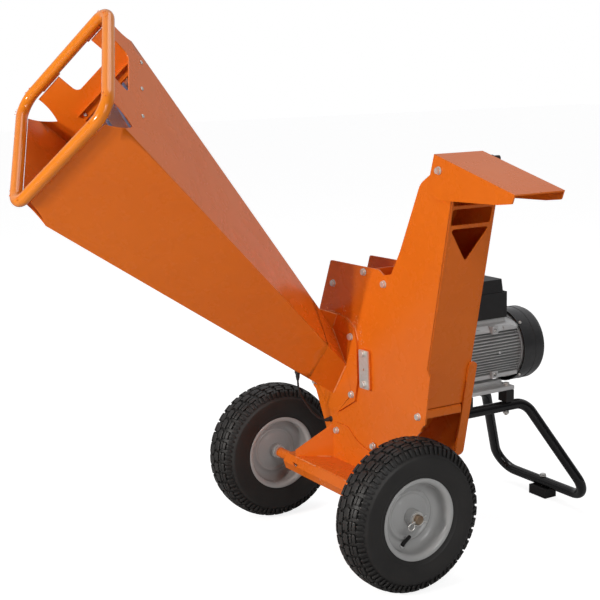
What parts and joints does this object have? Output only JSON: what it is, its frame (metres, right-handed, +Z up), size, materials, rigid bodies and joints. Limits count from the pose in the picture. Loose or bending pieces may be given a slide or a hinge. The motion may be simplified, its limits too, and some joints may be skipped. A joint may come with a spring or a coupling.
{
  "type": "wood chipper",
  "caption": "Walk-behind electric disc wood chipper: square funnel feed chute, disc housing, tapered discharge duct with hood, rear motor, axle with wheels and tube stand.",
  "frame": {"origin": "on the ground at the middle of the underside of the stand foot, in the middle plane between the wheels", "axes": "+Z up, -Y the feed side where the user stands, +Y the motor side, +X the discharge side"},
  "size_m": [0.867, 1.3371, 1.2126],
  "materials": {
    "orange_paint": "gloss powder coat",
    "black_paint": "satin powder coat",
    "zinc": "zinc plated",
    "steel": "machined",
    "tool_steel": "ground",
    "cast_aluminium": "cast",
    "black_plastic": "textured",
    "black_rubber": "matte",
    "tyre": "matte",
    "grey_paint": "satin",
    "clear_pvc": "clear flexible sheet",
    "green_plastic": "gloss",
    "red_plastic": "gloss"
  },
  "bodies": {
    "machine": {"axle": "steel", "axle_bracket": "orange_paint", "axle_carrier": "orange_paint", "axle_clips": "zinc", "axle_washers": "zinc", "batten_screws": "zinc", "bedknife": "tool_steel", "chute_flange": "orange_paint", "chute_funnel": "orange_paint", "chute_handle_frame": "orange_paint", "chute_neck": "orange_paint", "cover_pad": "orange_paint", "cover_plate": "zinc", "curtain_battens": "orange_paint", "drum_band": "orange_paint", "duct_back_wall": "orange_paint", "duct_floor": "orange_paint", "duct_side_panel": "orange_paint", "fan_cowl": "black_paint", "front_plate": "orange_paint", "hood_pivots": "zinc", "housing_bolts": "zinc", "housing_spacer": "orange_paint", "lead_glands": "black_plastic", "motor_bearings": "steel", "motor_end_shields": "cast_aluminium", "motor_foot_plate": "cast_aluminium", "motor_housing": "cast_aluminium", "motor_screws": "zinc", "motor_spacers": "black_rubber", "motor_stator": "steel", "power_inlet": "black_plastic", "rear_plate": "orange_paint", "rear_upright": "orange_paint", "safety_lead": "black_rubber", "stand_bolts": "zinc", "stand_foot": "black_rubber", "stand_frame": "black_paint", "switch_box": "black_plastic", "switch_box_lid": "black_plastic"},
    "hood": {"hood": "orange_paint"},
    "hood_knob": {"hood_lock_knob": "black_plastic"},
    "flap_left": {"curtain_flap_left": "clear_pvc"},
    "flap_right": {"curtain_flap_right": "clear_pvc"},
    "rotor": {"rotor_disc": "steel", "rotor_knives": "tool_steel", "rotor_paddles": "steel", "rotor_centre_bolt": "zinc", "motor_rotor": "steel", "motor_fan": "black_plastic"},
    "left_wheel": {"left_tyre": "tyre", "left_rim": "grey_paint", "left_hub_bush": "black_plastic", "left_valve_stem": "black_rubber"},
    "right_wheel": {"right_tyre": "tyre", "right_rim": "grey_paint", "right_hub_bush": "black_plastic", "right_valve_stem": "black_rubber"},
    "start_button": {"start_button": "green_plastic"},
    "stop_button": {"stop_button": "red_plastic"}
  },
  "joints": [
    {"name": "left_wheel_spin", "type": "hinge", "parent": "machine", "child": "left_wheel", "pos_m": [-0.279, -0.631, 0.165], "axis": [1, 0, 0], "continuous": true},
    {"name": "right_wheel_spin", "type": "hinge", "parent": "machine", "child": "right_wheel", "pos_m": [0.279, -0.631, 0.165], "axis": [1, 0, 0], "continuous": true},
    {"name": "rotor_spin", "type": "hinge", "parent": "machine", "child": "rotor", "pos_m": [0, -0.531, 0.414], "axis": [0, 1, 0], "continuous": true},
    {"name": "hood_tilt", "type": "hinge", "parent": "machine", "child": "hood", "pos_m": [0.315, -0.514, 0.883], "axis": [0, -1, 0], "range_deg": [-8, 40]},
    {"name": "hood_lock_turn", "type": "hinge", "parent": "machine", "child": "hood_knob", "pos_m": [0.315, -0.441, 0.883], "axis": [0, 1, 0], "range_deg": [0, 270]},
    {"name": "curtain_left_swing", "type": "hinge", "parent": "machine", "child": "flap_left", "pos_m": [-0.15576, -1.06707, 1.0417], "axis": [-0.724, -0.3401, -0.6002], "range_deg": [-25, 0]},
    {"name": "curtain_right_swing", "type": "hinge", "parent": "machine", "child": "flap_right", "pos_m": [-0.00724, -1.06707, 1.0417], "axis": [0.724, -0.3401, -0.6002], "range_deg": [0, 25]},
    {"name": "start_button_push", "type": "slide", "parent": "machine", "child": "start_button", "axis": [1, 0, 0], "range_m": [0, 0.003], "stiffness_N_per_m": 400},
    {"name": "stop_button_push", "type": "slide", "parent": "machine", "child": "stop_button", "axis": [1, 0, 0], "range_m": [0, 0.003], "stiffness_N_per_m": 400}
  ]
}
